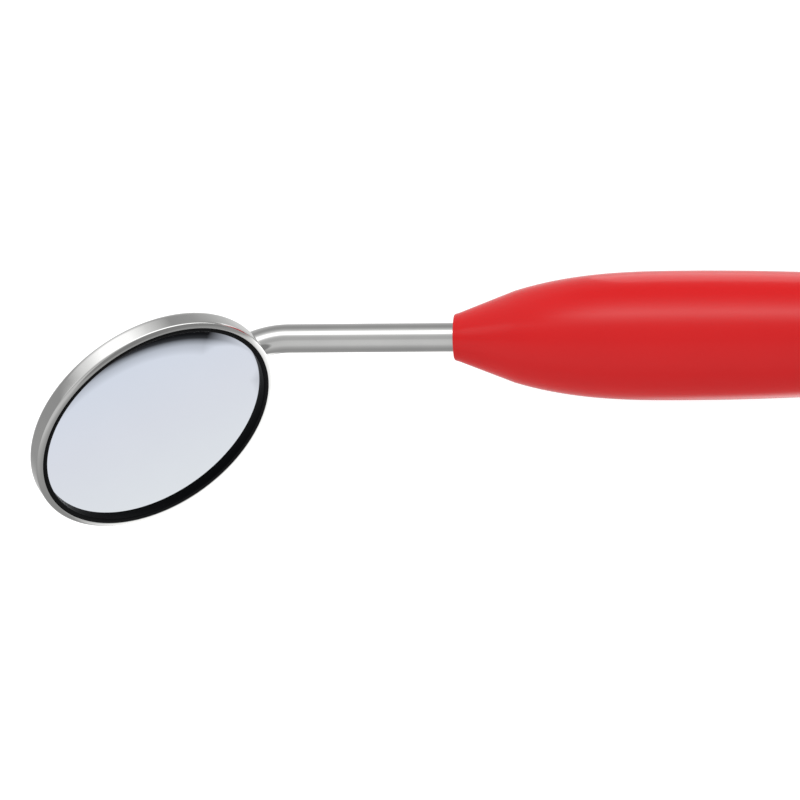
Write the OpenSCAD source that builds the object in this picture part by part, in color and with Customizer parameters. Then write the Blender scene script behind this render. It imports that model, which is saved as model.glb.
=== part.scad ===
// Dental mouth mirror: round head on a bent rod that screws into a moulded handle.
// Units are mm. The part lies on a table (z = 0), handle axis along X, head at -X.

/* [Display] */
// which node to draw

/* [Mirror head] */
// outer diameter of the steel cup
head_d = 22.1; // [18:0.1:26]
// cup thickness from the lip's outer edge to the back
head_t = 1.75; // [1.6:0.05:2.6]
// height of the rounded lip's crest above that edge
lip_rise = 0.14; // [0.06:0.02:0.24]
// radius of the cup's rounded back edge
back_round = 0.7; // [0.5:0.1:1.0]
// sheet thickness of the cup's wall and floor
cup_wall = 0.5; // [0.35:0.01:0.6]
// depth of the reflecting surface below the lip's outer edge
mirror_recess = 0.34; // [0.24:0.02:0.4]
// thickness of the glass disc
glass_t = 0.7; // [0.6:0.05:0.8]
// thickness of the reflecting layer
coating_t = 0.04; // [0.03:0.01:0.08]
// visible diameter of the mirror inside the dark ring
sight_d = 20.26; // [16:0.02:24]
// angle between the mirror plane and the handle axis
head_tilt = 33.4; // [25:0.1:50]
// distance from the handle axis to the centre of the lip's outer edge
head_lift = 9.63; // [7:0.01:13]
// distance along the axis from the handle's nose to that centre
head_reach = 24.45; // [20:0.01:32]

/* [Stem] */
// rod diameter
rod_d = 2.44; // [2:0.02:3]
// radius of the bend, at the rod's centre line
bend_r = 6.2; // [4:0.1:10]
// turn of the bend
bend_deg = 42; // [30:1:60]
// distance along the axis from the nose to the start of the bend
bend_at = 14.05; // [8:0.05:18]
// straight length of rod after the bend
tail_len = 4.2; // [2:0.1:6]
// thread pitch
pitch = 0.45; // [0.35:0.05:0.6]
// number of thread ridges
ridges = 12; // [6:1:16]

/* [Handle] */
// overall length of the handle
handle_len = 132; // [110:1:150]
// diameter of the flat front of the nose
nose_d = 3.8; // [3.2:0.05:5]
// diameter at the end of the nose cone
cone_d = 7.76; // [6:0.02:9]
// length of the nose cone
cone_len = 5.1; // [3:0.1:8]
// largest diameter
bulge_d = 10.88; // [9:0.02:13]
// place of the front bulge
bulge_at = 19.5; // [14:0.5:26]
// fullness of the shoulder between the cone and the bulge
fullness = 2.8; // [2:0.1:4]
// diameter of the waist
waist_d = 8.5; // [7:0.1:10]
// place of the waist
waist_at = 56; // [40:1:70]
// start of the rear cylindrical stretch
rear_from = 106; // [90:1:112]
// end of the rear cylindrical stretch
rear_to = 118; // [112:1:124]
// diameter of the opening at the handle's rear end
tail_d = 7.6; // [6:0.1:9]

/* [Inside the handle] */
// outer diameter of the stiffening tube
tube_d = 6.0; // [5:0.1:6.4]
// wall of the stiffening tube
tube_wall = 0.6; // [0.4:0.1:1]
// outer diameter of the threaded insert
insert_d = 4.6; // [4:0.1:5]
// running clearance of the stem in its bore, on radius
run_gap = 0.05; // [0.03:0.01:0.1]
// assembly gap between fixed pieces
seat_gap = 0.02; // [0.01:0.01:0.05]

/* [Colours] */
// handle colour
red = [0.78, 0.11, 0.12]; // [0:0.01:1]
// steel colour
steel = [0.78, 0.78, 0.77]; // [0:0.01:1]
// brass colour
brass = [0.78, 0.62, 0.30]; // [0:0.01:1]
// dark ring colour
dark = [0.03, 0.03, 0.035]; // [0:0.01:1]

/* [Hidden] */
$fn = 96;
head_r = head_d / 2;
rod_r = rod_d / 2;
bulge_r = bulge_d / 2;
cup_in = head_r - cup_wall;
glass_r = cup_in - 0.15;
coat_z = -mirror_recess;
glass_z = coat_z - coating_t;
bed_z = glass_z - glass_t;
floor_z = -head_t + cup_wall;
// lowest point of the leaning head, measured from the handle axis, as a function of the lean
function nz(a) = cos(head_tilt) * cos(a);
function low(a) = head_lift * cos(a) - (head_t - back_round) * nz(a)
    - (head_r - back_round) * sqrt(1 - nz(a) * nz(a)) - back_round;
// the head leans until its back edge meets the table that the handle lies on
function solve(a, b, n) = n == 0 ? (a + b) / 2
    : low((a + b) / 2) > -bulge_r ? solve((a + b) / 2, b, n - 1) : solve(a, (a + b) / 2, n - 1);
lean = solve(30, 85, 30);
// outline of the part, used to centre it on the origin
x_low = -head_reach - (head_t - back_round) * sin(head_tilt)
    - (head_r - back_round) * cos(head_tilt) - back_round;
ny = cos(head_tilt) * sin(lean);
y_low = -head_lift * sin(lean) - head_r * sqrt(1 - ny * ny);
shift = [-(x_low + handle_len) / 2, -(y_low + bulge_r) / 2, bulge_r];
// overlap of the rod's straight ends with its bend
lap = 0.12;
// inside lengths, from the nose
seal_at = 1.5;
seal_r = 0.25;
groove_r = 1.0;
mouth_r = groove_r + 0.03 + 2 * seal_r + run_gap;
mouth_len = 2.2;
insert_at = 3.0;
insert_len = 10.2;
thread_at = 3.2;
thread_len = ridges * pitch;
tip_at = thread_at + thread_len + 0.4;
bore_to = tip_at + 0.4;
tube_at = insert_at + insert_len;
plug_in = 7;

// curves of the handle's outside
function shoulder(x) = bulge_r
    - (bulge_r - cone_d / 2) * pow(1 - (x - cone_len) / (bulge_at - cone_len), fullness);
function ease(t) = (1 - cos(180 * t)) / 2;
function outer(x) = x < cone_len ? nose_d / 2 + 0.16 + (cone_d / 2 - nose_d / 2 - 0.16) * (x - 0.4) / (cone_len - 0.4)
    : x < bulge_at ? shoulder(x)
    : x < waist_at ? bulge_r + (waist_d / 2 - bulge_r) * ease((x - bulge_at) / (waist_at - bulge_at))
    : x < rear_from ? waist_d / 2 + (bulge_r - waist_d / 2) * ease((x - waist_at) / (rear_from - waist_at))
    : x <= rear_to ? bulge_r
    : tail_d / 2 + 0.6 + (bulge_r - tail_d / 2 - 0.6)
      * sqrt(max(0, 1 - pow((x - rear_to) / (handle_len - rear_to), 2)));

module lying() {
  translate(shift) rotate([lean, 0, 0]) children();
}

module straight() {
  translate(shift) rotate([0, 90, 0]) children();
}

module on_head() {
  lying() translate([-head_reach, 0, head_lift]) rotate([0, head_tilt, 0]) children();
}

module ring(r_in, r_out, z0, z1) {
  rotate_extrude() translate([r_in, z0]) square([r_out - r_in, z1 - z0]);
}

module cup_outline() {
  difference() {
    union() {
      translate([0, -head_t]) square([head_r - back_round, back_round + 0.01]);
      translate([0, -head_t + back_round]) square([head_r, head_t - back_round - lip_rise]);
      translate([head_r - back_round, -head_t + back_round]) circle(r = back_round);
      polygon(concat([[0, -head_t + back_round]],
        [for (i = [0 : 12]) [cup_in + cup_wall * cos(7.5 * i), lip_rise * (2 * sin(7.5 * i) - 1)]],
        [[0, lip_rise]]));
    }
    translate([-1, floor_z + 0.5]) square([cup_in + 1, head_t]);
    translate([-1, floor_z]) square([cup_in - 0.5 + 1, 0.6]);
    translate([cup_in - 0.5, floor_z + 0.5]) circle(r = 0.5, $fn = 64);
    translate([-2 * head_r, -2 * head_t]) square([2 * head_r, 4 * head_t]);
  }
}

module head_cup() {
  color(steel) on_head() rotate_extrude() cup_outline();
}

module cement_bed() {
  color([0.82, 0.80, 0.74]) on_head() translate([0, 0, floor_z + 0.01])
    cylinder(r = glass_r - 0.5, h = bed_z - floor_z - 0.02);
}

module mirror_glass() {
  color([0.70, 0.80, 0.80]) on_head() rotate_extrude() polygon([
    [0, bed_z], [glass_r - 0.25, bed_z], [glass_r, bed_z + 0.25],
    [glass_r, glass_z - 0.1], [glass_r - 0.1, glass_z], [0, glass_z]]);
}

module mirror_coating() {
  color([0.90, 0.92, 0.95]) on_head() translate([0, 0, glass_z])
    cylinder(r = glass_r - 0.12, h = coating_t);
}

module glass_seal() {
  color(dark) on_head() rotate_extrude() polygon([
    [sight_d / 2, coat_z], [glass_r + 0.03, coat_z], [glass_r + 0.03, glass_z - 0.3],
    [cup_in - 0.01, glass_z - 0.3], [cup_in - 0.01, lip_rise - 0.07], [cup_in - 0.06, lip_rise - 0.02],
    [sight_d / 2 + 0.05, lip_rise - 0.02], [sight_d / 2, lip_rise - 0.07]]);
}

// straight rod after the bend, drawn with radius r from a to b along it
module tail(r, a, b) {
  translate([-bend_at - bend_r * sin(bend_deg), 0, bend_r * (1 - cos(bend_deg))])
    rotate([0, bend_deg - 90, 0]) {
      translate([0, 0, a]) cylinder(r = r, h = b - a);
      translate([0, 0, b]) sphere(r = r);
    }
}

// space behind the cup's flat back, thick deep
module behind(thick) {
  translate([-head_reach, 0, head_lift]) rotate([0, head_tilt, 0])
    translate([-15, -15, -head_t - thick]) cube([30, 30, thick]);
}

// the bend is drawn a hair slimmer than the rod, whose ends reach lap into it
module rod_bent() {
  translate([-bend_at, 0, bend_r]) rotate([90, 0, 0]) rotate([0, 0, -90 - bend_deg])
    rotate_extrude(angle = bend_deg) translate([bend_r, 0]) circle(r = rod_r - 0.012);
  intersection() {
    tail(rod_r, -lap, tail_len);
    behind(12);
  }
}

// outline of the straight rod: plain shank, seal groove, thread ridges and tip
module rod_line() {
  core = rod_r - 0.24;
  polygon(concat([[0, -bend_at - lap], [rod_r, -bend_at - lap],
    [rod_r, seal_at - seal_r - 0.06], [groove_r, seal_at - seal_r - 0.06],
    [groove_r, seal_at + seal_r + 0.06], [rod_r, seal_at + seal_r + 0.06]],
    [for (i = [0 : ridges - 1]) each [
      [rod_r, thread_at + (i + 0.06) * pitch], [core, thread_at + (i + 0.44) * pitch],
      [core, thread_at + (i + 0.56) * pitch], [rod_r, thread_at + (i + 0.94) * pitch]]],
    [[rod_r - 0.3, tip_at], [0, tip_at]]));
}

module mirror_stem() {
  $fn = 48;
  color(steel) lying() {
    rod_bent();
    rotate([0, 90, 0]) rotate_extrude() rod_line();
  }
}

module stem_weld() {
  color([0.70, 0.69, 0.66]) lying() difference() {
    intersection() {
      union() {
        tail(rod_r + 0.55, 2.0, tail_len - 0.1);
        translate([-bend_at - bend_r * sin(bend_deg), 0, bend_r * (1 - cos(bend_deg))])
          rotate([0, bend_deg - 90, 0]) translate([0, 0, 2.0]) sphere(r = rod_r + 0.55);
      }
      behind(0.95);
    }
    rod_bent();
  }
}

module stem_seal() {
  color([0.12, 0.12, 0.13]) straight() translate([0, 0, seal_at])
    rotate_extrude() translate([groove_r + 0.03 + seal_r, 0]) circle(r = seal_r, $fn = 48);
}

module shell_line() {
  polygon(concat(
    [[0, 0]], [[nose_d / 2, 0]],
    [for (i = [0 : 8]) let (x = 0.4 + (cone_len - 0.4) * i / 8) [outer(x), x]],
    [for (i = [1 : 24]) let (x = cone_len + (bulge_at - cone_len) * i / 24) [outer(x), x]],
    [for (i = [1 : 30]) let (x = bulge_at + (waist_at - bulge_at) * i / 30) [outer(x), x]],
    [for (i = [1 : 40]) let (x = waist_at + (rear_from - waist_at) * i / 40) [outer(x), x]],
    [[bulge_r, rear_to]],
    [for (i = [1 : 20]) let (x = rear_to + (handle_len - rear_to) * sin(90 * i / 20)) [outer(x), x]],
    [[0, handle_len]]));
}

module handle_shell() {
  color(red) straight() difference() {
    rotate_extrude() shell_line();
    translate([0, 0, -1]) cylinder(r = mouth_r, h = mouth_len + 1);
    translate([0, 0, mouth_len - 0.01]) cylinder(r = rod_r + 0.25, h = insert_at - mouth_len + 0.02);
    translate([0, 0, insert_at]) cylinder(r = insert_d / 2 + seat_gap, h = insert_len + 0.01);
    translate([0, 0, tube_at]) cylinder(r = tube_d / 2 + seat_gap, h = handle_len);
    translate([0, 0, handle_len - 2.5]) cylinder(r = tail_d / 2 + seat_gap, h = 3);
  }
}

module thread_insert() {
  color(brass) straight() difference() {
    union() {
      translate([0, 0, insert_at + seat_gap]) cylinder(r = insert_d / 2, h = insert_len - seat_gap);
      translate([0, 0, tube_at]) cylinder(r = tube_d / 2 - tube_wall - seat_gap, h = 4);
    }
    translate([0, 0, insert_at - 1]) cylinder(r = rod_r + run_gap, h = bore_to - insert_at + 1);
    for (i = [0 : 3])
      ring(insert_d / 2 - 0.2, insert_d, insert_at + 1.6 + i * 2.1, insert_at + 2.3 + i * 2.1);
  }
}

module core_tube() {
  color([0.72, 0.72, 0.73]) straight() translate([0, 0, tube_at + seat_gap])
    ring(tube_d / 2 - tube_wall, tube_d / 2, 0, handle_len - 2.5 - plug_in - tube_at);
}

module end_plug() {
  color(red) straight() difference() {
    rotate_extrude() polygon([
      [0, handle_len - 2.5 - plug_in + 0.1], [tube_d / 2 - 0.3, handle_len - 2.5 - plug_in + 0.1],
      [tube_d / 2, handle_len - 2.5 - plug_in + 0.4], [tube_d / 2, handle_len - 2.5],
      [tail_d / 2, handle_len - 2.5], [tail_d / 2, handle_len - 0.4],
      [tail_d / 2 - 0.4, handle_len], [0, handle_len]]);
    ring(tube_d / 2 - 0.62, tube_d, handle_len - 6.2, handle_len - 5.0);
  }
}

module end_seal() {
  color([0.12, 0.12, 0.13]) straight() translate([0, 0, handle_len - 5.6])
    rotate_extrude() translate([tube_d / 2 - 0.3, 0]) circle(r = 0.3, $fn = 48);
}

head_cup();
cement_bed();
mirror_glass();
mirror_coating();
glass_seal();
stem_weld();
mirror_stem();
stem_seal();
handle_shell();
thread_insert();
core_tube();
end_plug();
end_seal();
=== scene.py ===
import math

import bmesh
import bpy
from mathutils import Matrix, Vector


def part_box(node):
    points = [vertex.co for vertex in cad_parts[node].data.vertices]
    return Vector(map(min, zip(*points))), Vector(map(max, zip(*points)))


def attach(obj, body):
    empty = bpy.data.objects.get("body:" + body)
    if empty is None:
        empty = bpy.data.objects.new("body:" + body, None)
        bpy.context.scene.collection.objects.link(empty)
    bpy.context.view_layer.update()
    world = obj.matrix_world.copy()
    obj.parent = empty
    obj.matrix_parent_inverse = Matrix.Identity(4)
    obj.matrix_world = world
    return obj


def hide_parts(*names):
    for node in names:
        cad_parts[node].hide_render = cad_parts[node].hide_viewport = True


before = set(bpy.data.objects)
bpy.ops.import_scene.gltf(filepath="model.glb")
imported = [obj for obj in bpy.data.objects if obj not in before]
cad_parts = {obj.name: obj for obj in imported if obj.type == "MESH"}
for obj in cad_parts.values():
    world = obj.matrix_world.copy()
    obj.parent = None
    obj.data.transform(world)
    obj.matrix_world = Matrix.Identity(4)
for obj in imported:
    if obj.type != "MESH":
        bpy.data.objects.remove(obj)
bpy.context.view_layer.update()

MM = 0.001
rad = math.radians

# ---------------------------------------------------------------- dimensions, as in the CAD (mm, degrees)
# mirror head
HEAD_R = 11.05
HEAD_T = 1.75
LIP_RISE = 0.14
BACK_ROUND = 0.7
CUP_WALL = 0.5
MIRROR_RECESS = 0.34
COATING_T = 0.04
SIGHT_R = 10.13         # the black ring's opening
HEAD_TILT = 33.4
HEAD_LIFT = 9.63        # the head's middle above the handle's axis
HEAD_REACH = 24.45      # and in front of the handle's nose
CUP_IN = HEAD_R - CUP_WALL
GLASS_R = CUP_IN - 0.15
COAT_Z = -MIRROR_RECESS
GLASS_Z = COAT_Z - COATING_T
FLOOR_Z = -HEAD_T + CUP_WALL

# stem: distances along it are from the handle's nose
ROD_R = 1.22
BEND_R = 6.2
BEND_DEG = 42.0
BEND_AT = 14.05
TAIL_LEN = 4.2          # the straight end that is brazed to the cup
TAIL_FROM = BEND_AT + rad(BEND_DEG) * BEND_R
TAIL_TO = TAIL_FROM + TAIL_LEN
PITCH = 0.45
RIDGES = 12
THREAD_AT = 3.2
TIP_AT = THREAD_AT + RIDGES * PITCH + 0.4
CORE_R = ROD_R - 0.24   # the thread's root
SEAL_AT = 1.5
SEAL_R = 0.25
GROOVE_R = 1.0

# handle: distances along it are from its nose
HANDLE_LEN = 132.0
NOSE_R = 1.9
NOSE_ROUND = 0.4        # length of the rounded edge at the nose
NOSE_STEP = 0.16        # how much the radius grows over it
CONE_R = 3.88
CONE_LEN = 5.1
BULGE_R = 5.44
BULGE_AT = 19.5
FULLNESS = 2.8
WAIST_R = 4.25
WAIST_AT = 56.0
REAR_FROM = 106.0
REAR_TO = 118.0
TAIL_R = 3.8
TAIL_LAND = 0.6         # the flat rim round the end plug
TUBE_R = 3.0
INSERT_R = 2.3
INSERT_AT = 3.0
INSERT_TO = INSERT_AT + 10.2
SEAT_GAP = 0.02
MOUTH_R = 1.58
MOUTH_LEN = 2.2
PLUG_HEAD_AT = HANDLE_LEN - 2.5
PLUG_FROM = PLUG_HEAD_AT - 7.0 + 0.1

# the handle's axis and nose, read from the frame
shell_lo, shell_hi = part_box("handle_shell")
AXIS_Y = (shell_lo[1] + shell_hi[1]) / 2 / MM
AXIS_Z = (shell_lo[2] + shell_hi[2]) / 2 / MM
NOSE_X = shell_lo[0] / MM


def lowest(a):
    """Height of the head's lowest point from the handle's axis, when the head leans over by a."""
    nz = math.cos(rad(HEAD_TILT)) * math.cos(a)
    return (HEAD_LIFT * math.cos(a) - (HEAD_T - BACK_ROUND) * nz
            - (HEAD_R - BACK_ROUND) * math.sqrt(1 - nz * nz) - BACK_ROUND)


def find_lean():
    """The lean at which the head and the handle's bulge touch the table together."""
    low, high = rad(30), rad(85)
    for _ in range(40):
        middle = (low + high) / 2
        if lowest(middle) > -BULGE_R:
            low = middle
        else:
            high = middle
    return (low + high) / 2


LEAN = find_lean()

# frames, all in mm until the mesh is written
FROM_HEAD = Matrix.Translation((-HEAD_REACH, 0, HEAD_LIFT)) @ Matrix.Rotation(rad(HEAD_TILT), 4, "Y")
TO_HEAD = FROM_HEAD.inverted()
M_AXIS = Matrix.Translation((NOSE_X, AXIS_Y, AXIS_Z))
M_LYING = M_AXIS @ Matrix.Rotation(LEAN, 4, "X")
M_HEAD = M_LYING @ FROM_HEAD
M_LATHE_X = M_AXIS @ Matrix.Rotation(rad(90), 4, "Y")


# ---------------------------------------------------------------- mesh helpers
def to_object(name, bm, matrix, sharp=40.0):
    bmesh.ops.recalc_face_normals(bm, faces=bm.faces)
    mesh = bpy.data.meshes.new(name)
    bm.to_mesh(mesh)
    bm.free()
    mesh.transform(Matrix.Scale(MM, 4) @ matrix)
    for p in mesh.polygons:
        p.use_smooth = True
    mesh.set_sharp_from_angle(angle=rad(sharp))
    obj = bpy.data.objects.new(name, mesh)
    bpy.context.scene.collection.objects.link(obj)
    return obj


def arc(cx, cz, r, a0, a1, n):
    return [(cx + r * math.cos(rad(a0 + (a1 - a0) * i / n)),
             cz + r * math.sin(rad(a0 + (a1 - a0) * i / n))) for i in range(n + 1)]


def lathe(name, profile, matrix, segments=160, closed=False, sharp=40.0):
    """Revolves (radius, height) points round Z. Points at radius 0 become poles."""
    bm = bmesh.new()
    rings = []
    for r, z in profile:
        if r < 1e-6:
            rings.append([bm.verts.new((0, 0, z))])
        else:
            turns = [2 * math.pi * k / segments for k in range(segments)]
            rings.append([bm.verts.new((r * math.cos(a), r * math.sin(a), z)) for a in turns])
    pairs = list(zip(rings, rings[1:]))
    if closed:
        pairs.append((rings[-1], rings[0]))
    for a, b in pairs:
        for k in range(segments):
            j = (k + 1) % segments
            if len(a) == 1:
                bm.faces.new((a[0], b[k], b[j]))
            elif len(b) == 1:
                bm.faces.new((a[k], a[j], b[0]))
            else:
                bm.faces.new((a[k], a[j], b[j], b[k]))
    return to_object(name, bm, matrix, sharp)


def loft(name, rings, matrix, sharp=40.0):
    """Skins closed rings of equal length, given as lists of points, and caps both ends."""
    bm = bmesh.new()
    made = [[bm.verts.new(p) for p in ring] for ring in rings]
    n = len(made[0])
    for a, b in zip(made, made[1:]):
        for k in range(n):
            j = (k + 1) % n
            bm.faces.new((a[k], a[j], b[j], b[k]))
    bm.faces.new(made[0])
    bm.faces.new(made[-1])
    return to_object(name, bm, matrix, sharp)


# ---------------------------------------------------------------- node helpers: each returns an output socket
def noise(nt, scale, detail, rough=0.55, stretch=None):
    coord = nt.nodes.new("ShaderNodeTexCoord").outputs["Object"]
    tex = nt.nodes.new("ShaderNodeTexNoise")
    tex.inputs["Scale"].default_value = scale
    tex.inputs["Detail"].default_value = detail
    tex.inputs["Roughness"].default_value = rough
    if stretch:
        mapping = nt.nodes.new("ShaderNodeMapping")
        mapping.inputs["Scale"].default_value = stretch
        nt.links.new(coord, mapping.inputs["Vector"])
        coord = mapping.outputs["Vector"]
    nt.links.new(coord, tex.inputs["Vector"])
    return tex.outputs["Fac"]


def ramp(nt, source, stops):
    node = nt.nodes.new("ShaderNodeValToRGB")
    el = node.color_ramp.elements
    el[0].position, el[1].position = stops[0][0], stops[-1][0]
    el[0].color, el[1].color = (*stops[0][1], 1.0), (*stops[-1][1], 1.0)
    for pos, col in stops[1:-1]:
        el.new(pos).color = (*col, 1.0)
    nt.links.new(source, node.inputs["Fac"])
    return node.outputs["Color"]


def grey_ramp(nt, source, stops):
    return ramp(nt, source, [(pos, (level,) * 3) for pos, level in stops])


def map_range(nt, source, to_min, to_max, from_min=0.0, from_max=1.0):
    node = nt.nodes.new("ShaderNodeMapRange")
    node.inputs["To Min"].default_value = to_min
    node.inputs["To Max"].default_value = to_max
    node.inputs["From Min"].default_value = from_min
    node.inputs["From Max"].default_value = from_max
    nt.links.new(source, node.inputs["Value"])
    return node.outputs["Result"]


def math_node(nt, operation, first, second, clamp=False):
    """second is a socket or a number."""
    node = nt.nodes.new("ShaderNodeMath")
    node.operation = operation
    node.use_clamp = clamp
    nt.links.new(first, node.inputs[0])
    if isinstance(second, bpy.types.NodeSocket):
        nt.links.new(second, node.inputs[1])
    else:
        node.inputs[1].default_value = second
    return node.outputs["Value"]


def vector_node(nt, operation, source, value=None):
    """Gives a number for a length, a distance or a dot product, and a vector otherwise."""
    node = nt.nodes.new("ShaderNodeVectorMath")
    node.operation = operation
    nt.links.new(source, node.inputs[0])
    if operation == "SCALE":
        node.inputs["Scale"].default_value = value
    elif value is not None:
        node.inputs[1].default_value = value
    return node.outputs["Value" if operation in ("LENGTH", "DISTANCE", "DOT_PRODUCT") else "Vector"]


# ---------------------------------------------------------------- materials
def new_material(name):
    mat = bpy.data.materials.new(name)
    mat.use_nodes = True
    nt = mat.node_tree
    nt.nodes.clear()
    out = nt.nodes.new("ShaderNodeOutputMaterial")
    bsdf = nt.nodes.new("ShaderNodeBsdfPrincipled")
    nt.links.new(bsdf.outputs["BSDF"], out.inputs["Surface"])
    return mat, nt, bsdf


def vary(nt, bsdf, tone, dark, light, skin, rough):
    """Colour from dark to light by the tone noise, and roughness over its range by the skin noise."""
    nt.links.new(ramp(nt, tone, [(0.3, dark), (0.7, light)]), bsdf.inputs["Base Color"])
    nt.links.new(map_range(nt, skin, *rough), bsdf.inputs["Roughness"])


def bump(nt, bsdf, source, strength, distance):
    node = nt.nodes.new("ShaderNodeBump")
    node.inputs["Strength"].default_value = strength
    node.inputs["Distance"].default_value = distance
    nt.links.new(source, node.inputs["Height"])
    nt.links.new(node.outputs["Normal"], bsdf.inputs["Normal"])


def metal(name, dark, light, rough, stretch=(1, 1, 1), grain=900.0, depth=0.000004):
    """stretch draws the grain out into polishing or turning lines."""
    mat, nt, bsdf = new_material(name)
    bsdf.inputs["Metallic"].default_value = 1.0
    lines = noise(nt, grain, 5.0, 0.6, stretch)
    vary(nt, bsdf, noise(nt, 180.0, 3.0), dark, light, lines, rough)
    bump(nt, bsdf, lines, 0.15, depth)
    return mat


def plastic(name, dark, light, rough, peel=700.0, depth=0.000006, ior=1.5):
    """peel is the scale of the moulded skin's fine unevenness."""
    mat, nt, bsdf = new_material(name)
    bsdf.inputs["IOR"].default_value = ior
    skin = noise(nt, peel, 3.0, 0.5)
    vary(nt, bsdf, noise(nt, 60.0, 4.0), dark, light, skin, rough)
    bump(nt, bsdf, skin, 0.2, depth)
    return mat


steel = metal("steel_polished", (0.60, 0.60, 0.595), (0.66, 0.66, 0.65), (0.045, 0.10),
              stretch=(0.2, 1, 1))
steel_cup = metal("steel_cup", (0.58, 0.58, 0.575), (0.66, 0.66, 0.65), (0.05, 0.13), grain=600.0)
steel_braze = metal("steel_braze", (0.50, 0.49, 0.46), (0.60, 0.59, 0.56), (0.18, 0.34),
                    grain=500.0, depth=0.00001)
brass = metal("brass_turned", (0.60, 0.42, 0.16), (0.70, 0.52, 0.22), (0.18, 0.32),
              stretch=(6, 1, 1), grain=300.0)
aluminium = metal("aluminium_drawn", (0.62, 0.62, 0.63), (0.72, 0.72, 0.73), (0.25, 0.40),
                  stretch=(0.05, 1, 1), grain=500.0)
mirror = metal("mirror_coating", (0.86, 0.89, 0.93), (0.87, 0.90, 0.94), (0.004, 0.012),
               grain=60.0, depth=0.0000002)
red = plastic("red_moulded", (0.66, 0.0035, 0.005), (0.70, 0.0045, 0.006), (0.15, 0.22), ior=1.42)
# black for the seal ring, partly painted reflection: the black stands in for the dark reflection of the cup's
# rim along the mirror's edge
black = plastic("black_ring", (0.0012, 0.0014, 0.0018), (0.0022, 0.0024, 0.003), (0.30, 0.42),
                peel=1500.0, ior=1.12)
rubber = plastic("rubber_seal", (0.012, 0.012, 0.013), (0.022, 0.022, 0.023), (0.45, 0.6), peel=1500.0)
cement = plastic("cement_pale", (0.55, 0.52, 0.44), (0.66, 0.63, 0.55), (0.6, 0.8),
                 peel=500.0, depth=0.00002)

glass, glass_nt, glass_bsdf = new_material("glass_disc")
glass_bsdf.inputs["Transmission Weight"].default_value = 0.9
glass_bsdf.inputs["IOR"].default_value = 1.52
glass_tone = noise(glass_nt, 90.0, 2.0)
vary(glass_nt, glass_bsdf, glass_tone, (0.66, 0.80, 0.77), (0.72, 0.84, 0.81), glass_tone, (0.02, 0.05))


def paint(obj, mat):
    if obj.data.materials:
        for i in range(len(obj.data.materials)):
            obj.material_slots[i].material = mat
    else:
        obj.data.materials.append(mat)


def place(obj, body, mat, slot, *nodes):
    """Paints a piece, makes it ride on its body, and hides the CAD nodes that it stands for."""
    paint(obj, mat)
    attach(obj, body)
    if nodes:
        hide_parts(*nodes)


# ---------------------------------------------------------------- mirror head
CUP_FILLET = 0.5        # round inside the cup, between its wall and its floor
lip_turn = [rad(5 * i) for i in range(19)]
cup_profile = [(0, -HEAD_T), (5, -HEAD_T), (HEAD_R - BACK_ROUND - 0.05, -HEAD_T)]
cup_profile += arc(HEAD_R - BACK_ROUND, -HEAD_T + BACK_ROUND, BACK_ROUND, -90, 0, 16)
cup_profile += [(CUP_IN + CUP_WALL * math.cos(a), LIP_RISE * (2 * math.sin(a) - 1)) for a in lip_turn]
cup_profile += arc(CUP_IN - CUP_FILLET, FLOOR_Z + CUP_FILLET, CUP_FILLET, 0, -90, 8)
cup_profile += [(0, FLOOR_Z)]
place(lathe("head_cup_shell", cup_profile, M_HEAD, 256),
      "mirror_head", steel_cup, "polished_steel", "head_cup")

RING_EDGE = 0.05        # round on the black ring's two upper edges
RING_TOP = LIP_RISE - 0.02
RING_OUT = CUP_IN - 0.01
SKIRT_IN = GLASS_R + 0.03
SKIRT_Z = GLASS_Z - 0.3
# the seal ring reaches from over the glass's edge up the cup's inner wall to just below the lip; its black is
# partly a real seal and partly painted dark reflection of the rim
ring_profile = [(SIGHT_R, COAT_Z), (SKIRT_IN, COAT_Z), (SKIRT_IN, SKIRT_Z), (RING_OUT, SKIRT_Z)]
ring_profile += arc(RING_OUT - RING_EDGE, RING_TOP - RING_EDGE, RING_EDGE, 0, 90, 5)
ring_profile += arc(SIGHT_R + RING_EDGE, RING_TOP - RING_EDGE, RING_EDGE, 90, 180, 5)
place(lathe("glass_seal_ring", ring_profile, M_HEAD, 256, closed=True),
      "mirror_head", black, "black_ring", "glass_seal")

COAT_R = GLASS_R - 0.12
coat_profile = [(0, GLASS_Z), (COAT_R, GLASS_Z), (COAT_R, COAT_Z - 0.01), (COAT_R - 0.02, COAT_Z),
                (0, COAT_Z)]
place(lathe("mirror_coating_disc", coat_profile, M_HEAD, 256, sharp=8),
      "mirror_head", mirror, "reflector", "mirror_coating")


# ---------------------------------------------------------------- stem
def stem_point(s):
    """The rod's middle and direction, s mm from the handle's nose towards the head, before it leans."""
    if s <= BEND_AT:
        return Vector((-s, 0, 0)), Vector((-1, 0, 0))
    a = min((s - BEND_AT) / BEND_R, rad(BEND_DEG))
    p = Vector((-BEND_AT - BEND_R * math.sin(a), 0, BEND_R * (1 - math.cos(a))))
    d = Vector((-math.cos(a), 0, math.sin(a)))
    if s > TAIL_FROM:
        p += d * (s - TAIL_FROM)
    return p, d


def ring_at(s, r, n=72):
    """A ring of the rod, cut flat where its tail lies against the cup's back."""
    c, d = stem_point(s)
    side = Vector((0, 1, 0))
    up = side.cross(d)
    pts = []
    for k in range(n):
        a = 2 * math.pi * k / n
        p = c + side * (r * math.cos(a)) + up * (r * math.sin(a))
        h = TO_HEAD @ p
        if s > TAIL_FROM and h.z > -HEAD_T:
            h.z = -HEAD_T
            p = FROM_HEAD @ h
        pts.append(p)
    return pts


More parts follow.
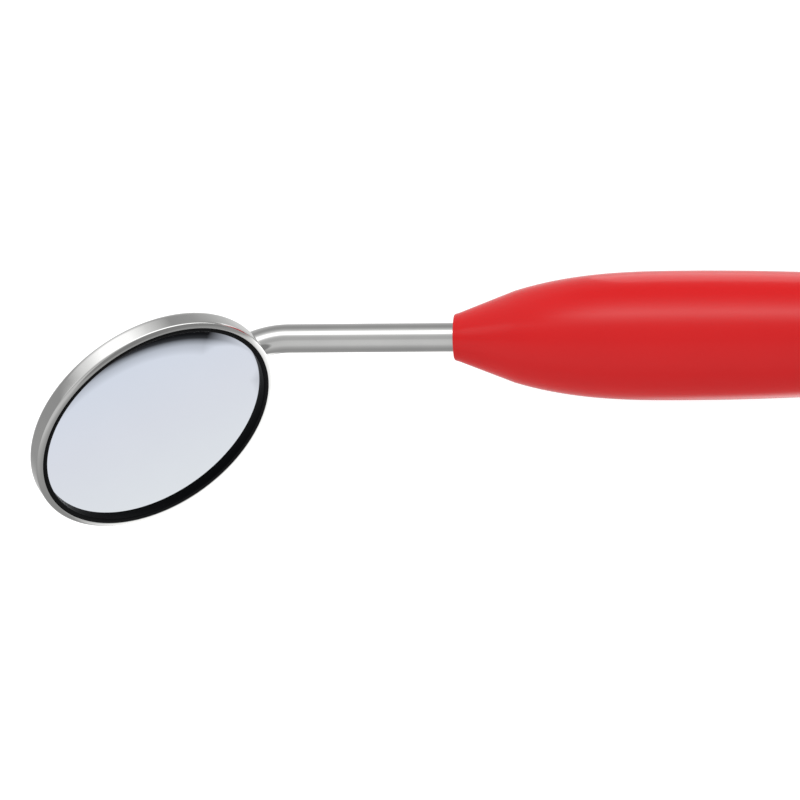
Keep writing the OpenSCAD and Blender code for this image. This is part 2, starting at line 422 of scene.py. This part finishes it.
# stations are (distance from the nose, radius); below 0 they are inside the handle
domed_end = [rad(a) for a in (88, 80, 70, 60, 50, 40, 30, 20, 10)]
stations = [(TAIL_TO + ROD_R * math.sin(a), ROD_R * math.cos(a)) for a in domed_end]
stations += [(TAIL_TO - TAIL_LEN * i / 8, ROD_R) for i in range(9)]
stations += [(BEND_AT + (TAIL_FROM - BEND_AT) * (1 - i / 28), ROD_R) for i in range(1, 29)]
stations += [(s, ROD_R) for s in (11, 8, 5, 2, 0.5, -0.6)]
# the seal's groove, as (distance from its middle, radius)
groove = [(0.34, ROD_R), (0.31, ROD_R - 0.03), (0.30, GROOVE_R + 0.03), (0.27, GROOVE_R)]
stations += [(-SEAL_AT + half, r) for half, r in groove]
stations += [(-SEAL_AT - half, r) for half, r in reversed(groove)]
stations += [(-THREAD_AT + 0.35, ROD_R), (-THREAD_AT + 0.05, CORE_R)]
stations += [(-TIP_AT + 0.3, CORE_R), (-TIP_AT + 0.05, CORE_R - 0.18), (-TIP_AT, CORE_R - 0.24)]
place(loft("mirror_stem_rod", [ring_at(s, r) for s, r in stations], M_LYING),
      "mirror_head", steel, "polished_steel", "mirror_stem")

# right-hand thread, rising and fading over half a turn at its ends
STEPS_PER_TURN = 48
FADE_TURNS = 0.5
RIDGE_FOOT = 0.20       # half the ridge's width at its foot
RIDGE_CREST = 0.035     # and at its crest
RIDGE_SUNK = CORE_R - 0.03
rings = []
for i in range(RIDGES * STEPS_PER_TURN + 1):
    turn = i / STEPS_PER_TURN
    a = 2 * math.pi * turn
    x = THREAD_AT + turn * PITCH
    fade = min(1.0, turn / FADE_TURNS, (RIDGES - turn) / FADE_TURNS)
    crest = CORE_R + (ROD_R - CORE_R) * fade
    section = [(RIDGE_SUNK, -RIDGE_FOOT), (crest, -RIDGE_CREST), (crest, RIDGE_CREST),
               (RIDGE_SUNK, RIDGE_FOOT)]
    rings.append([Vector((x + dx, r * math.cos(a), r * math.sin(a))) for r, dx in section])
place(loft("stem_thread_helix", rings, M_LYING, sharp=25), "mirror_head", steel, "polished_steel")

# brazed fillet: a concave bead round the rod's end, on the cup's back
WELD_FROM = 0.9         # where the bead starts, from the start of the tail
WELD_THIN = 0.05        # how far its foot stands out from the rod there
WELD_FULL = 0.5         # and at the rod's end
SIDE_STEPS = 13
END_STEPS = 24


def fillet_section(s, side, width, grow=1.0):
    """Points from the rod's flank down to the cup's back, in head coordinates.

    side is a direction in the plane of the back, and grow shrinks the section towards its corner."""
    c = TO_HEAD @ stem_point(s)[0]
    gap = -HEAD_T - c.z
    foot = c + side * (ROD_R * 0.98 + width)
    foot.z = -HEAD_T
    top = c + side * (ROD_R * math.cos(rad(12))) - Vector((0, 0, 0.12 * gap))
    corner = c + side * (ROD_R * 0.93)
    corner.z = -HEAD_T - 0.06
    inner = c + side * (ROD_R * 0.35)
    inner.z = -HEAD_T
    # quadratic curve with its control point in the corner
    steps = [i / 8 for i in range(9)]
    pts = [top * (1 - t) ** 2 + corner * (2 * t * (1 - t)) + foot * t ** 2 for t in steps]
    return [corner + (p - corner) * grow for p in pts + [inner]]


def fillet_side(side):
    """The bead along one side of the rod: it starts thin and is full after a third of the way."""
    sections = []
    for i in range(SIDE_STEPS + 1):
        t = i / SIDE_STEPS
        s = TAIL_FROM + WELD_FROM + (TAIL_LEN - WELD_FROM) * t
        width = WELD_THIN + (WELD_FULL - WELD_THIN) * min(1, t * 1.6)
        grow = math.sin(rad(90) * min(1.0, 0.06 + 2.8 * t))
        sections.append(fillet_section(s, side, width, grow))
    return sections


along = (TO_HEAD @ stem_point(TAIL_TO)[0]) - (TO_HEAD @ stem_point(TAIL_FROM)[0])
along.z = 0
along.normalize()
across = Vector((0, 1, 0))
loops = fillet_side(across)
for i in range(1, END_STEPS):
    a = math.pi * i / END_STEPS
    loops.append(fillet_section(TAIL_TO, across * math.cos(a) + along * math.sin(a), WELD_FULL))
loops += reversed(fillet_side(-across))
place(loft("stem_weld_fillet", loops, M_HEAD, sharp=50), "mirror_head", steel_braze, "braze", "stem_weld")

# small ring in the stem's groove, with a moulding line inside and outside, as a real one has
SEAL_STEPS = 40
FLASH = 0.006
SEAL_MIDDLE = GROOVE_R + 0.03 + SEAL_R
seal_profile = []
for k in range(SEAL_STEPS):
    a = 2 * math.pi * k / SEAL_STEPS
    flash = FLASH if k in (0, SEAL_STEPS // 2) else 0.0
    seal_profile.append((SEAL_MIDDLE + (SEAL_R - FLASH + flash) * math.cos(a),
                         SEAL_AT + (SEAL_R - FLASH) * math.sin(a)))
place(lathe("stem_seal_ring", seal_profile, M_LATHE_X, 96, closed=True),
      "travelling_ring", rubber, "seal_rubber", "stem_seal")


# ---------------------------------------------------------------- handle
def ease(t):
    return (1 - math.cos(math.pi * t)) / 2


def outer(x):
    """The handle's outer radius, x mm from its nose."""
    if x < CONE_LEN:
        start = NOSE_R + NOSE_STEP
        return start + (CONE_R - start) * (x - NOSE_ROUND) / (CONE_LEN - NOSE_ROUND)
    if x < BULGE_AT:
        return BULGE_R - (BULGE_R - CONE_R) * (1 - (x - CONE_LEN) / (BULGE_AT - CONE_LEN)) ** FULLNESS
    if x < WAIST_AT:
        return BULGE_R + (WAIST_R - BULGE_R) * ease((x - BULGE_AT) / (WAIST_AT - BULGE_AT))
    if x < REAR_FROM:
        return WAIST_R + (BULGE_R - WAIST_R) * ease((x - WAIST_AT) / (REAR_FROM - WAIST_AT))
    if x <= REAR_TO:
        return BULGE_R
    t = (x - REAR_TO) / (HANDLE_LEN - REAR_TO)
    return TAIL_R + TAIL_LAND + (BULGE_R - TAIL_R - TAIL_LAND) * math.sqrt(max(0.0, 1 - t * t))


shell = [(MOUTH_R + 0.04, 0.0), (NOSE_R - 0.02, 0.0), (NOSE_R + 0.05, 0.05), (NOSE_R + 0.11, 0.2)]
shell += [(outer(NOSE_ROUND), NOSE_ROUND)]
for x0, x1, steps in ((NOSE_ROUND, CONE_LEN, 8), (CONE_LEN, BULGE_AT, 40), (BULGE_AT, WAIST_AT, 40),
                      (WAIST_AT, REAR_FROM, 50), (REAR_FROM, REAR_TO, 1)):
    for i in range(1, steps + 1):
        x = x0 + (x1 - x0) * i / steps
        shell.append((outer(x), x))
for i in range(1, 30):
    x = REAR_TO + (HANDLE_LEN - REAR_TO) * math.sin(rad(90 * i / 30))
    shell.append((outer(x), x))
# the rim, the plug's seat, and the bores for the core tube, the insert and the stem
SEAT_R = TAIL_R + SEAT_GAP
TUBE_BORE = TUBE_R + SEAT_GAP
INSERT_BORE = INSERT_R + SEAT_GAP
STEM_BORE = ROD_R + 0.25
shell += [(TAIL_R + TAIL_LAND, HANDLE_LEN), (SEAT_R + 0.03, HANDLE_LEN), (SEAT_R, HANDLE_LEN - 0.05),
          (SEAT_R, PLUG_HEAD_AT), (TUBE_BORE, PLUG_HEAD_AT), (TUBE_BORE, INSERT_TO),
          (INSERT_BORE, INSERT_TO), (INSERT_BORE, INSERT_AT), (STEM_BORE, INSERT_AT),
          (STEM_BORE, MOUTH_LEN), (MOUTH_R, MOUTH_LEN), (MOUTH_R, 0.04)]
place(lathe("handle_shell_moulded", shell, M_LATHE_X, 192, closed=True, sharp=30),
      "handle", red, "red_plastic", "handle_shell")

PLUG_EDGE = 0.4         # round on the plug's end
PLUG_GROOVE_R = TUBE_R - 0.62
PLUG_GROOVE_FROM = HANDLE_LEN - 6.2
PLUG_GROOVE_TO = HANDLE_LEN - 5.0
plug = [(0, PLUG_FROM), (TUBE_R - 0.3, PLUG_FROM), (TUBE_R, PLUG_FROM + 0.3), (TUBE_R, PLUG_GROOVE_FROM),
        (PLUG_GROOVE_R, PLUG_GROOVE_FROM), (PLUG_GROOVE_R, PLUG_GROOVE_TO), (TUBE_R, PLUG_GROOVE_TO),
        (TUBE_R, PLUG_HEAD_AT), (TAIL_R, PLUG_HEAD_AT)]
plug += arc(TAIL_R - PLUG_EDGE, HANDLE_LEN - PLUG_EDGE, PLUG_EDGE, 0, 90, 8)
# a shallow dimple in the middle of the end, as (radius, depth)
plug += [(r, HANDLE_LEN - depth) for r, depth in ((1.2, 0), (1.1, 0.04), (0.9, 0.16), (0.5, 0.26), (0, 0.3))]
place(lathe("end_plug_moulded", plug, M_LATHE_X, 128, sharp=30), "handle", red, "red_plastic", "end_plug")

for node, mat in (("cement_bed", cement), ("mirror_glass", glass), ("thread_insert", brass),
                  ("core_tube", aluminium), ("end_seal", rubber)):
    paint(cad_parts[node], mat)

# ---------------------------------------------------------------- camera
VIEW_LEAN = 49.52       # the head's lean as the camera sees it
CAM_SWING = 6.5
CAM_ROLL = 0.34
DIST = 350.0
IMAGE_PX = 800
PX_PER_MM = 11.8376     # scale of the picture at the handle's axis
SENSOR = 36.0
AIM_AHEAD = 4.669       # the camera looks this far in front of the nose
AIM_BELOW = 5.2713      # and this far below the axis, in the picture

phi = LEAN - rad(VIEW_LEAN)
swing = rad(CAM_SWING)
rest_turn = Matrix.Rotation(phi, 3, "X")
cam_right = rest_turn @ Vector((math.cos(swing), 0, -math.sin(swing)))
cam_back = rest_turn @ Vector((math.sin(swing), 0, math.cos(swing)))
cam_up = rest_turn @ Vector((0, 1, 0))
aim = Vector((NOSE_X - AIM_AHEAD, AXIS_Y, AXIS_Z)) - cam_up * AIM_BELOW

cam_data = bpy.data.cameras.new("camera")
cam_data.sensor_width = SENSOR
cam_data.lens = PX_PER_MM * DIST / IMAGE_PX * SENSOR
cam_data.clip_start = 0.01
cam_data.clip_end = 10.0
cam = bpy.data.objects.new("camera", cam_data)
bpy.context.scene.collection.objects.link(cam)
cam_turn = Matrix((cam_right, cam_up, cam_back)).transposed() @ Matrix.Rotation(rad(-CAM_ROLL), 3, "Z")
cam.matrix_world = Matrix.Translation((aim + cam_back * DIST) * MM) @ cam_turn.to_4x4()
bpy.context.scene.camera = cam


# ---------------------------------------------------------------- floor and light cards
def sheet_object(name, size_x, size_y, matrix):
    bm = bmesh.new()
    x = size_x / 2
    y = size_y / 2
    bm.faces.new([bm.verts.new(corner) for corner in ((-x, -y, 0), (x, -y, 0), (x, y, 0), (-x, y, 0))])
    mesh = bpy.data.meshes.new(name)
    bm.to_mesh(mesh)
    bm.free()
    obj = bpy.data.objects.new(name, mesh)
    obj.matrix_world = matrix
    bpy.context.scene.collection.objects.link(obj)
    return obj


def glow_card(name, size_x, size_y, matrix, strength=1.0):
    """A glowing card seen only in reflections. Returns its tree, its emission and its output."""
    obj = sheet_object(name, size_x, size_y, matrix)
    mat = bpy.data.materials.new(name)
    mat.use_nodes = True
    nt = mat.node_tree
    nt.nodes.clear()
    out = nt.nodes.new("ShaderNodeOutputMaterial")
    em = nt.nodes.new("ShaderNodeEmission")
    em.inputs["Strength"].default_value = strength
    nt.links.new(em.outputs["Emission"], out.inputs["Surface"])
    obj.data.materials.append(mat)
    for kind in ("camera", "diffuse", "shadow", "transmission"):
        setattr(obj, "visible_" + kind, False)
    return nt, em, out


def cover_by(nt, em, out, factor):
    """The card glows where factor is 1 and is clear where it is 0."""
    clear = nt.nodes.new("ShaderNodeBsdfTransparent")
    mix = nt.nodes.new("ShaderNodeMixShader")
    nt.links.new(factor, mix.inputs[0])
    nt.links.new(clear.outputs["BSDF"], mix.inputs[1])
    nt.links.new(em.outputs["Emission"], mix.inputs[2])
    nt.links.new(mix.outputs["Shader"], out.inputs["Surface"])


floor = sheet_object("floor", 4.0, 4.0, Matrix.Translation((0, 0, -0.00002)))
floor_mat, _, floor_bsdf = new_material("floor_pale")
floor_bsdf.inputs["Base Color"].default_value = (0.45, 0.45, 0.45, 1)
floor_bsdf.inputs["Roughness"].default_value = 0.9
floor_bsdf.inputs["Specular IOR Level"].default_value = 0.1
floor_bsdf.inputs["Emission Color"].default_value = (1, 1, 1, 1)
floor_bsdf.inputs["Emission Strength"].default_value = 0.88
floor.data.materials.append(floor_mat)
floor.visible_glossy = False

# card below the floor, which only the mirror shows: a pale round light with a dark rim on one side.
# The mirror's middle shows CARD_AT. Its rim shows CARD_AT + CARD_U on the left and CARD_AT + CARD_V
# at the bottom, so a point of the card is p * CARD_U + q * CARD_V from there, p and q in mirror radii
CARD_AT = Vector((0.01128, -0.12435, -0.060))
CARD_U = Vector((-0.00735, -0.01455))
CARD_V = Vector((-0.01551, 0.01438))
LIGHT_AT = Vector((0.163, 0.267, 0))    # middle of the round light (p, q)
LIGHT_R = 1.218
LIGHT_FIT = 0.9         # where the light's edge lies on its ramp, so that all of the edge is inside it
SIDE_AT = Vector((-1.05, -0.45, 0))     # a second soft light, where the dark rim thins out beside the stem
SIDE_LEVEL = 0.95
SIDE_FADE = (0.12, 0.52)
CARD_FADE = (1.12, 1.22)                # the card ends just outside the area that the mirror shows

c_nt, c_em, c_out = glow_card("mirror_card", 0.060, 0.060, Matrix.Translation(CARD_AT))
c_coord = c_nt.nodes.new("ShaderNodeTexCoord").outputs["Object"]
det = CARD_U.x * CARD_V.y - CARD_U.y * CARD_V.x
c_p = vector_node(c_nt, "DOT_PRODUCT", c_coord, (CARD_V.y / det, -CARD_V.x / det, 0))
c_q = vector_node(c_nt, "DOT_PRODUCT", c_coord, (-CARD_U.y / det, CARD_U.x / det, 0))
c_join = c_nt.nodes.new("ShaderNodeCombineXYZ")
c_nt.links.new(c_p, c_join.inputs["X"])
c_nt.links.new(c_q, c_join.inputs["Y"])
c_place = c_join.outputs["Vector"]

# tone: cooler at the top of the mirror, warmer at the bottom
c_down = map_range(c_nt, c_q, 0.0, 1.0, -1.2 + LIGHT_AT.y, 0.8 + LIGHT_AT.y)
c_tone = ramp(c_nt, c_down, [(0.0, (0.74, 0.77, 0.84)), (0.45, (0.785, 0.79, 0.83)),
                             (1.0, (0.84, 0.85, 0.85))])
c_nt.links.new(c_tone, c_em.inputs["Color"])

# strength: the round light plus the second soft light
c_from_light = vector_node(c_nt, "DISTANCE", c_place, LIGHT_AT)
c_scaled = math_node(c_nt, "MULTIPLY", c_from_light, LIGHT_FIT / LIGHT_R)
light_edge = [(0.86, 1.0), (0.95, 0.70), (0.99, 0.34), (1.015, 0.05), (1.05, 0.01)]
c_edge = grey_ramp(c_nt, c_scaled, [(at * LIGHT_FIT, level) for at, level in light_edge])
c_from_side = vector_node(c_nt, "DISTANCE", c_place, SIDE_AT)
c_side = map_range(c_nt, c_from_side, SIDE_LEVEL, 0.0, *SIDE_FADE)
c_nt.links.new(math_node(c_nt, "ADD", c_edge, c_side, clamp=True), c_em.inputs["Strength"])
cover_by(c_nt, c_em, c_out, map_range(c_nt, vector_node(c_nt, "LENGTH", c_place), 1.0, 0.0, *CARD_FADE))

# round soft light close above the cup's upper left wall, bright in the middle and clear at its edge
WALL_POINT = Vector((-1.92, 10.84, -0.8))       # in head coordinates (mm)
WALL_DIR = (-0.40, 0.88, 0.25)                  # to the camera's right, up and back
HEAD_CARD_GAP = 9.0
HEAD_CARD_SPAN = 0.028
wall_dir = (cam_right * WALL_DIR[0] + cam_up * WALL_DIR[1] + cam_back * WALL_DIR[2]).normalized()
h_nt, h_em, h_out = glow_card("head_card", HEAD_CARD_SPAN, HEAD_CARD_SPAN,
                              Matrix.Translation((M_HEAD @ WALL_POINT + wall_dir * HEAD_CARD_GAP) * MM)
                              @ wall_dir.to_track_quat("Z", "Y").to_matrix().to_4x4(), strength=1.65)
h_coord = h_nt.nodes.new("ShaderNodeTexCoord").outputs["Object"]
h_far = map_range(h_nt, vector_node(h_nt, "LENGTH", h_coord), 0.0, 1.0, 0.0, HEAD_CARD_SPAN / 2)
cover_by(h_nt, h_em, h_out, grey_ramp(h_nt, h_far, [(0.0, 1.0), (0.22, 1.0), (0.5, 0.45), (0.95, 0.0)]))

# white strip on the table behind the handle
glow_card("table_strip", 0.124, 0.034,
          Matrix.Translation(((NOSE_X + 72) * MM, (AXIS_Y + 29) * MM, 0.0002)), strength=1.3)

# ---------------------------------------------------------------- studio dome
# its brightness goes by the angle round the handle's direction, like long strip boxes over a table
world = bpy.data.worlds.new("studio")
bpy.context.scene.world = world
world.use_nodes = True
w_nt = world.node_tree
w_nt.nodes.clear()
w_out = w_nt.nodes.new("ShaderNodeOutputWorld")
w_bg = w_nt.nodes.new("ShaderNodeBackground")
w_rot = w_nt.nodes.new("ShaderNodeMapping")
w_rot.inputs["Rotation"].default_value = (-phi, 0, 0)
w_nt.links.new(w_nt.nodes.new("ShaderNodeTexCoord").outputs["Generated"], w_rot.inputs["Vector"])
w_way = w_rot.outputs["Vector"]
w_sep = w_nt.nodes.new("ShaderNodeSeparateXYZ")
w_nt.links.new(w_way, w_sep.inputs["Vector"])
w_angle = math_node(w_nt, "ARCTAN2", w_sep.outputs["Y"], w_sep.outputs["Z"])

TOP_LEVEL = 3.0
LEVELS = [(-180, 0.7), (-158, 0.55), (-143, 0.45), (-120, 0.40), (-100, 0.42), (-77, 0.56), (-59, 0.76),
          (-45, 0.80), (-22, 0.77), (-10, 0.60), (8, 0.62), (20, 0.78), (30, 1.6), (41, 3.0), (52, 1.8),
          (63, 0.95), (77, 0.56), (93, 0.42), (115, 0.46), (135, 0.60), (158, 0.80), (180, 0.8)]
w_col = grey_ramp(w_nt, map_range(w_nt, w_angle, 0.0, 1.0, -math.pi, math.pi),
                  [((a + 180) / 360, level / TOP_LEVEL) for a, level in LEVELS])


def world_range(source, start, stop):
    """0 at start, 1 at stop."""
    return map_range(w_nt, source, 0.0, 1.0, start, stop)


def facing(direction):
    """How nearly a point of the dome lies in this direction."""
    return vector_node(w_nt, "DOT_PRODUCT", w_way, direction)


def blend_world(colour, level, factor):
    """Mixes an even grey level into the dome where factor is 1."""
    mix = w_nt.nodes.new("ShaderNodeMix")
    mix.data_type = "RGBA"
    factor_in, colour_in, level_in = mix.inputs[0], mix.inputs[6], mix.inputs[7]
    level_in.default_value = (level / TOP_LEVEL,) * 3 + (1,)
    w_nt.links.new(factor, factor_in)
    w_nt.links.new(colour, colour_in)
    return mix.outputs[2]


# the overhead strips end a little before the head
w_left = math_node(w_nt, "MULTIPLY", world_range(w_sep.outputs["X"], -0.20, -0.45),
                   world_range(w_sep.outputs["Y"], 0.20, 0.50))
w_col = blend_world(w_col, 0.72, w_left)
# the far end of the room behind the head is darker
w_col = blend_world(w_col, 0.42, world_range(facing((1, 0, 0.25)), -0.68, -0.92))
# a dark flag beyond the handle, low on the right
w_flag = facing(Vector((0.8, -0.386, 0.46)).normalized())
w_col = blend_world(w_col, 0.32, world_range(w_flag, 0.80, 0.86))
w_nt.links.new(w_col, w_bg.inputs["Color"])
# a white board low behind the part lights the far side of the cup's lip
w_board = map_range(w_nt, facing(Vector((0.5, -0.433, -0.75)).normalized()), 1.0, 3.4, 0.82, 0.88)
w_nt.links.new(math_node(w_nt, "MULTIPLY", w_board, TOP_LEVEL), w_bg.inputs["Strength"])
w_nt.links.new(w_bg.outputs["Background"], w_out.inputs["Surface"])

light_data = bpy.data.lights.new("overhead", "AREA")
light_data.shape = "SQUARE"
light_data.size = 0.9
light_data.energy = 0.6
overhead = bpy.data.objects.new("overhead", light_data)
overhead.location = (-0.03, 0.08, 0.7)
overhead.rotation_euler = (rad(-6), 0, 0)
overhead.visible_glossy = False
bpy.context.scene.collection.objects.link(overhead)

scene = bpy.context.scene
scene.view_settings.view_transform = "Standard"
scene.view_settings.look = "None"
scene.view_settings.exposure = 0.0
